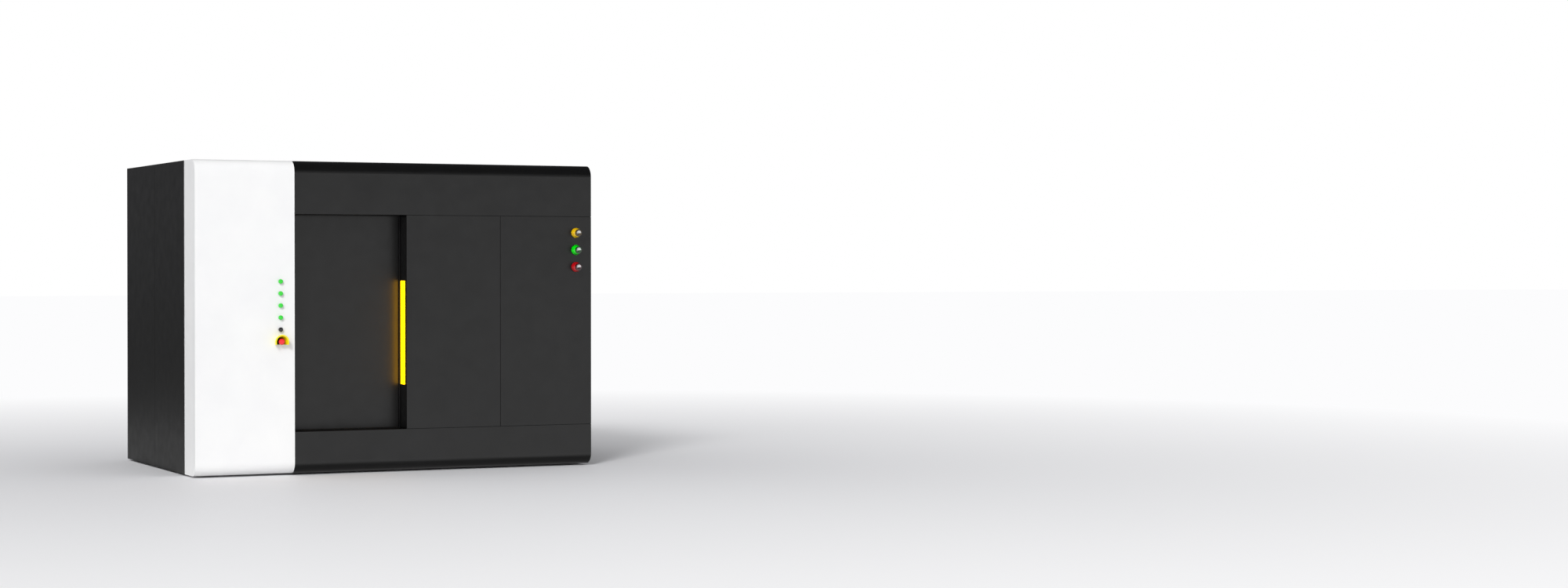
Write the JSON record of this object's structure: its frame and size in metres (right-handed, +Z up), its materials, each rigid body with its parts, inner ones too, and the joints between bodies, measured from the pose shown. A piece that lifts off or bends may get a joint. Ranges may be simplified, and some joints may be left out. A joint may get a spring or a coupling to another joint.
{
  "type": "industrial ct scanner",
  "caption": "Shielded walk-up X-ray scanner cabinet with a sliding loading door, turntable, tube and detector lifts, signal lamps and service doors.",
  "frame": {"origin": "centre of the machine's whole plan outline, on the floor under its feet", "axes": "+Z up, +Y from the front to the back, +X from the white control column to the service doors"},
  "size_m": [2.852, 2.012, 2.1],
  "materials": {
    "white_paint": "satin",
    "black_paint": "satin",
    "inner_paint": "satin",
    "frame_paint": "matte",
    "zinc_steel": "satin",
    "rail_steel": "polished",
    "black_rubber": "matte",
    "roller_nylon": "satin",
    "drive_aluminium": "satin",
    "axis_aluminium": "anodised",
    "motor_black": "satin",
    "granite": "honed",
    "light_yellow": "diffusing",
    "device_black": "satin",
    "button_green": "gloss",
    "button_black": "gloss",
    "stop_yellow": "gloss",
    "stop_red": "gloss",
    "lamp_amber": "translucent",
    "lamp_green": "translucent",
    "lamp_red": "translucent",
    "hinge_black": "satin",
    "vent_grey": "satin",
    "fan_black": "satin",
    "tube_steel": "satin",
    "detector_shell": "anodised",
    "platter_steel": "turned",
    "module_grey": "satin",
    "generator_paint": "satin"
  },
  "bodies": {
    "cabinet": {"levelling_feet": "zinc_steel", "base_beams": "frame_paint", "cabin_floor": "inner_paint", "cabin_roof": "inner_paint", "cabin_front_wall": "inner_paint", "cabin_rear_wall": "inner_paint", "cabin_side_walls": "inner_paint", "door_tracks": "zinc_steel", "door_drive": "drive_aluminium", "control_column": "white_paint", "upper_fascia": "black_paint", "lower_fascia": "black_paint", "pocket_cover": "black_paint", "lamp_cover": "black_paint", "cover_seals": "black_rubber", "light_strip": "light_yellow", "left_side_panels": "black_paint", "rear_panels": "black_paint", "roof_panels": "black_paint", "side_frame": "black_paint", "device_bodies": "device_black", "estop_guards": "stop_yellow", "signal_lamp_amber": "lamp_amber", "signal_lamp_green": "lamp_green", "signal_lamp_red": "lamp_red", "service_hinges": "hinge_black", "machine_bed": "granite", "bed_mounts": "black_rubber", "linear_rails": "rail_steel", "axis_columns": "granite", "axis_motor": "motor_black", "mounting_plate": "zinc_steel", "control_modules": "module_grey", "hv_generator": "generator_paint"},
    "sliding_door": {"door_leaf": "black_paint", "door_hangers": "zinc_steel"},
    "roller_left": {"door_roller_left": "roller_nylon"},
    "roller_right": {"door_roller_right": "roller_nylon"},
    "button_1": {"green_button_1": "button_green"},
    "button_2": {"green_button_2": "button_green"},
    "button_3": {"green_button_3": "button_green"},
    "button_4": {"green_button_4": "button_green"},
    "button_5": {"black_button": "button_black"},
    "stop_front": {"estop_head_front": "stop_red"},
    "stop_side": {"estop_head_side": "stop_red"},
    "front_service_door": {"service_door_front": "black_paint", "vents_front": "vent_grey"},
    "rear_service_door": {"service_door_rear": "black_paint", "vents_rear": "vent_grey"},
    "latch": {"latch_lever": "hinge_black"},
    "fan_front": {"fan_rotor_front": "fan_black"},
    "fan_rear": {"fan_rotor_rear": "fan_black"},
    "table": {"table_carriage": "axis_aluminium", "turntable_base": "axis_aluminium"},
    "screw": {"ball_screw": "rail_steel"},
    "platter": {"turntable_platter": "platter_steel"},
    "source_lift": {"source_carriage": "axis_aluminium", "xray_tube": "tube_steel"},
    "detector_lift": {"detector_carriage": "axis_aluminium", "detector_housing": "detector_shell"}
  },
  "joints": [
    {"name": "door_slide", "type": "slide", "parent": "cabinet", "child": "sliding_door", "axis": [1, 0, 0], "range_m": [0, 0.82]},
    {"name": "roller_left_spin", "type": "hinge", "parent": "sliding_door", "child": "roller_left", "pos_m": [-0.676, -0.7585, 1.9123], "axis": [0, 1, 0], "range_deg": [0, 1307]},
    {"name": "roller_right_spin", "type": "hinge", "parent": "sliding_door", "child": "roller_right", "pos_m": [-0.056, -0.7585, 1.9123], "axis": [0, 1, 0], "range_deg": [0, 1307]},
    {"name": "table_slide", "type": "slide", "parent": "cabinet", "child": "table", "axis": [1, 0, 0], "range_m": [-0.21, 0.5]},
    {"name": "screw_spin", "type": "hinge", "parent": "cabinet", "child": "screw", "pos_m": [-0.226, 0.056, 0.534], "axis": [1, 0, 0], "range_deg": [-3782, 9002]},
    {"name": "platter_spin", "type": "hinge", "parent": "table", "child": "platter", "pos_m": [-0.366, 0.056, 0.733], "axis": [0, 0, 1], "continuous": true},
    {"name": "tube_lift", "type": "slide", "parent": "cabinet", "child": "source_lift", "axis": [0, 0, 1], "range_m": [-0.25, 0.35]},
    {"name": "detector_lift", "type": "slide", "parent": "cabinet", "child": "detector_lift", "axis": [0, 0, 1], "range_m": [-0.25, 0.35]},
    {"name": "button_1_press", "type": "slide", "parent": "cabinet", "child": "button_1", "axis": [0, 1, 0], "range_m": [0, 0.004], "stiffness_N_per_m": 900},
    {"name": "button_2_press", "type": "slide", "parent": "cabinet", "child": "button_2", "axis": [0, 1, 0], "range_m": [0, 0.004], "stiffness_N_per_m": 900},
    {"name": "button_3_press", "type": "slide", "parent": "cabinet", "child": "button_3", "axis": [0, 1, 0], "range_m": [0, 0.004], "stiffness_N_per_m": 900},
    {"name": "button_4_press", "type": "slide", "parent": "cabinet", "child": "button_4", "axis": [0, 1, 0], "range_m": [0, 0.004], "stiffness_N_per_m": 900},
    {"name": "button_5_press", "type": "slide", "parent": "cabinet", "child": "button_5", "axis": [0, 1, 0], "range_m": [0, 0.004], "stiffness_N_per_m": 900},
    {"name": "stop_front_press", "type": "slide", "parent": "cabinet", "child": "stop_front", "axis": [0, 1, 0], "range_m": [0, 0.005], "stiffness_N_per_m": 2500},
    {"name": "stop_side_press", "type": "slide", "parent": "cabinet", "child": "stop_side", "axis": [-1, 0, 0], "range_m": [0, 0.005], "stiffness_N_per_m": 2500},
    {"name": "front_service_door_hinge", "type": "hinge", "parent": "cabinet", "child": "front_service_door", "pos_m": [1.382, -0.38325, 1.025], "axis": [0, 0, -1], "range_deg": [0, 110]},
    {"name": "rear_service_door_hinge", "type": "hinge", "parent": "cabinet", "child": "rear_service_door", "pos_m": [1.382, 0.71325, 1.025], "axis": [0, 0, 1], "range_deg": [0, 110]},
    {"name": "latch_turn", "type": "hinge", "parent": "front_service_door", "child": "latch", "pos_m": [1.374, 0.12575, 1.025], "axis": [-1, 0, 0], "range_deg": [0, 90]},
    {"name": "fan_front_spin", "type": "hinge", "parent": "front_service_door", "child": "fan_front", "pos_m": [1.355, -0.10912, 1.548], "axis": [1, 0, 0], "continuous": true},
    {"name": "fan_rear_spin", "type": "hinge", "parent": "rear_service_door", "child": "fan_rear", "pos_m": [1.355, 0.43912, 1.548], "axis": [1, 0, 0], "continuous": true}
  ],
  "couplings": [
    {"joint": "roller_left_spin", "follows": "door_slide", "rad_per_m": 27.778},
    {"joint": "roller_right_spin", "follows": "door_slide", "rad_per_m": 27.778},
    {"joint": "screw_spin", "follows": "table_slide", "rad_per_m": 314.16},
    {"joint": "detector_lift", "follows": "tube_lift", "ratio": 1}
  ]
}
